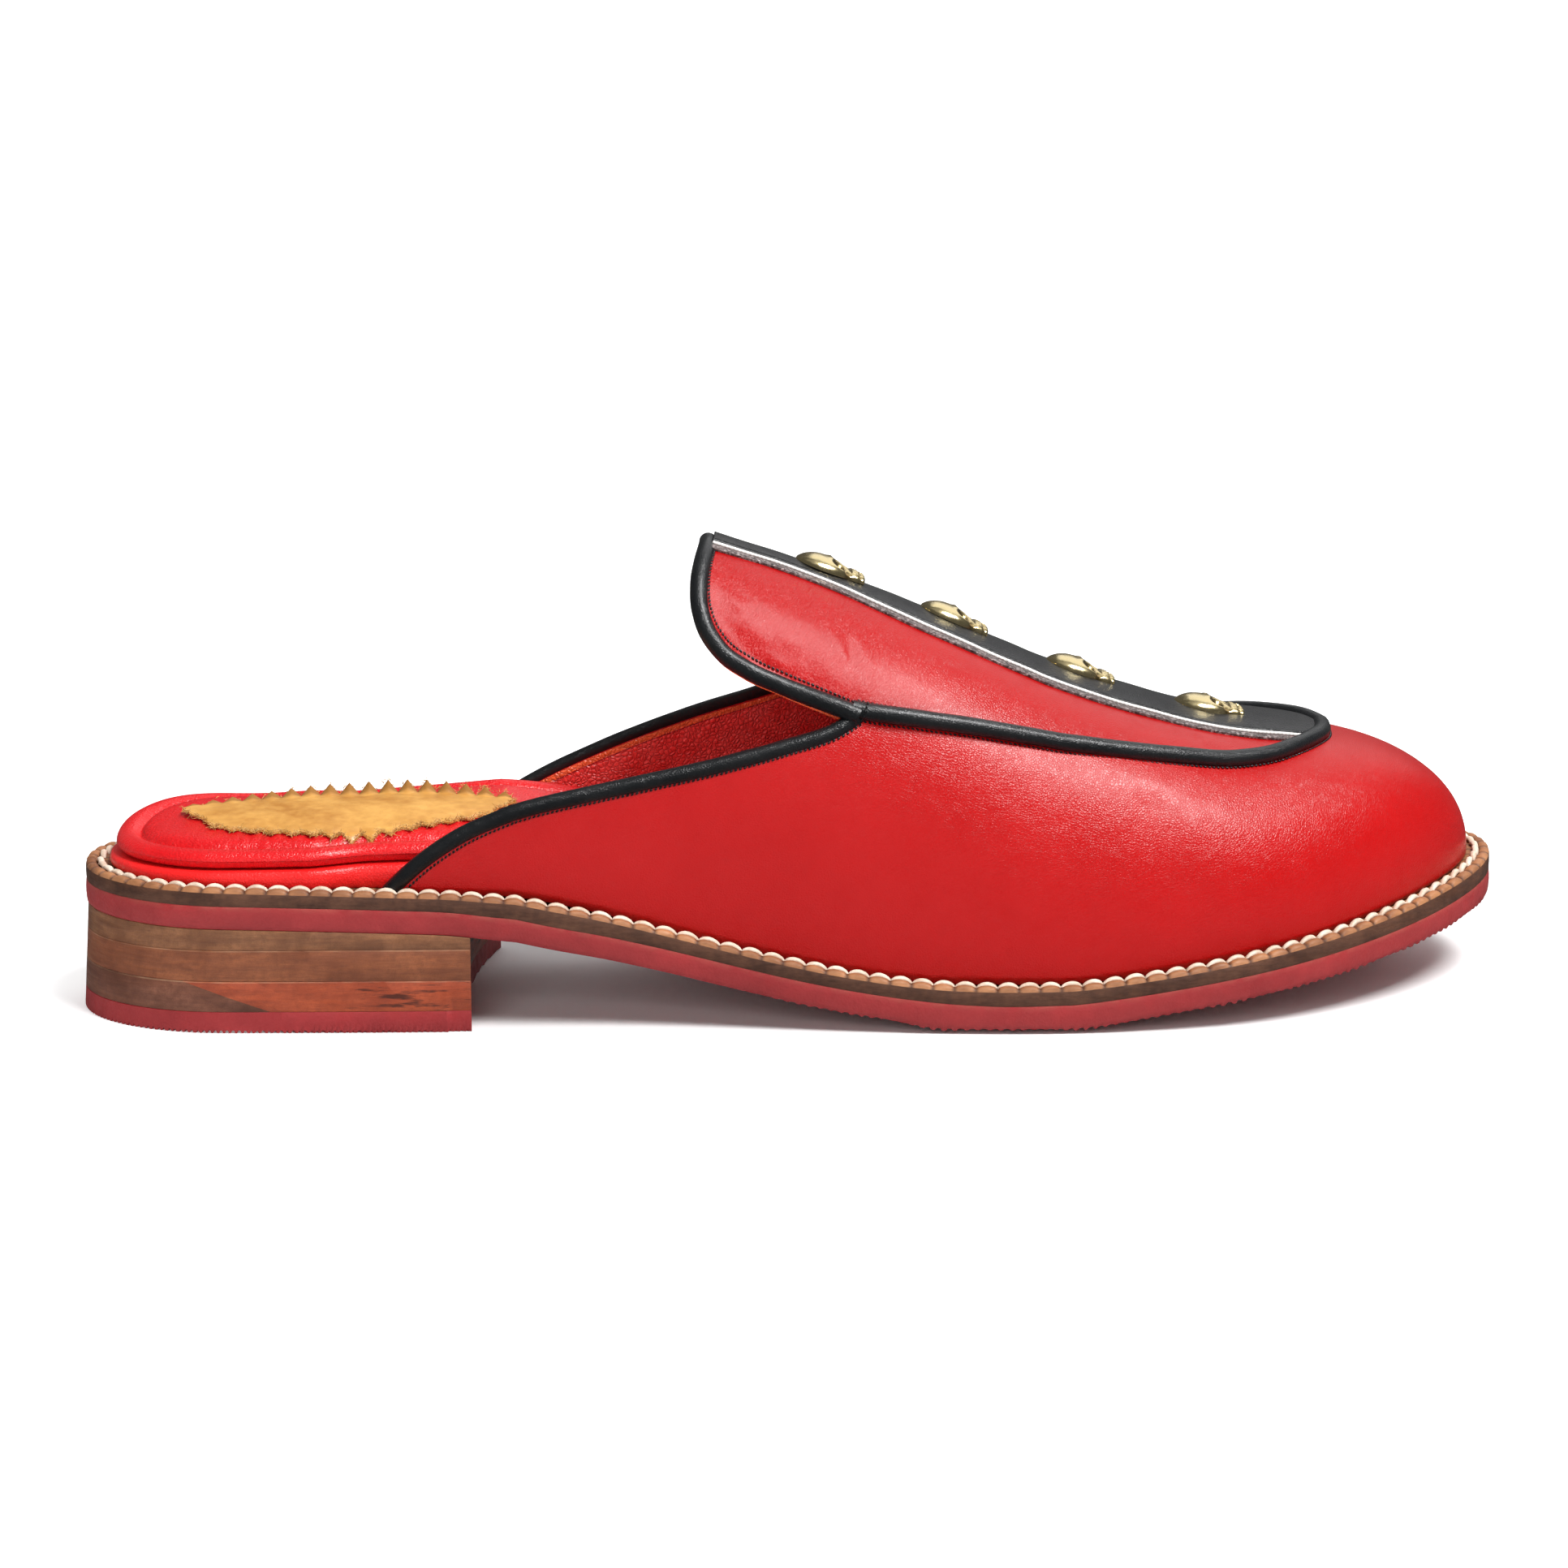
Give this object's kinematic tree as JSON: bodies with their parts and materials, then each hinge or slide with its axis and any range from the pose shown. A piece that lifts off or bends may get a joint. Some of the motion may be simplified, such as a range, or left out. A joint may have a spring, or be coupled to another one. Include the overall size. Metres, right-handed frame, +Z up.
{
  "type": "mule",
  "caption": "Backless loafer mule with a closed rounded toe, piped apron, studded centre strip, padded sock and a low stacked heel.",
  "frame": {"origin": "centre of the bounding box on the floor plane the shoe stands on", "axes": "+X towards the toe, +Y towards the inner side of the right foot, +Z up"},
  "size_m": [0.2618, 0.0897, 0.0837],
  "materials": {
    "red_leather": "smooth, semi-gloss, fine grain",
    "black_leather": "smooth, soft sheen",
    "red_rubber": "matte, slightly mottled",
    "brown_welt": "matte, rough cut edge",
    "stacked_leather": "stained and waxed edge, layered",
    "orange_lift": "stained and waxed edge",
    "tan_suede": "smooth face with a frayed, pinked edge",
    "pewter_ribbon": "metallic thread, fine glitter",
    "gold_metal": "polished"
  },
  "bodies": {
    "root": {"outsole": "red_rubber", "welt": "brown_welt", "heel_seat_lift": "stacked_leather", "heel_middle_lift": "stacked_leather", "heel_base_rear": "stacked_leather", "heel_base_front": "orange_lift", "heel_top_piece": "red_rubber", "insole_board": "red_leather", "sock_pad": "red_leather", "sock_patch": "tan_suede", "upper": "red_leather", "throat_binding": "black_leather", "quarter_binding_lateral": "black_leather", "quarter_binding_medial": "black_leather", "apron_bead": "black_leather", "centre_strip": "black_leather", "piping_lateral": "pewter_ribbon", "piping_medial": "pewter_ribbon", "stud_1": "gold_metal", "stud_2": "gold_metal", "stud_3": "gold_metal", "stud_4": "gold_metal"}
  },
  "joints": []
}
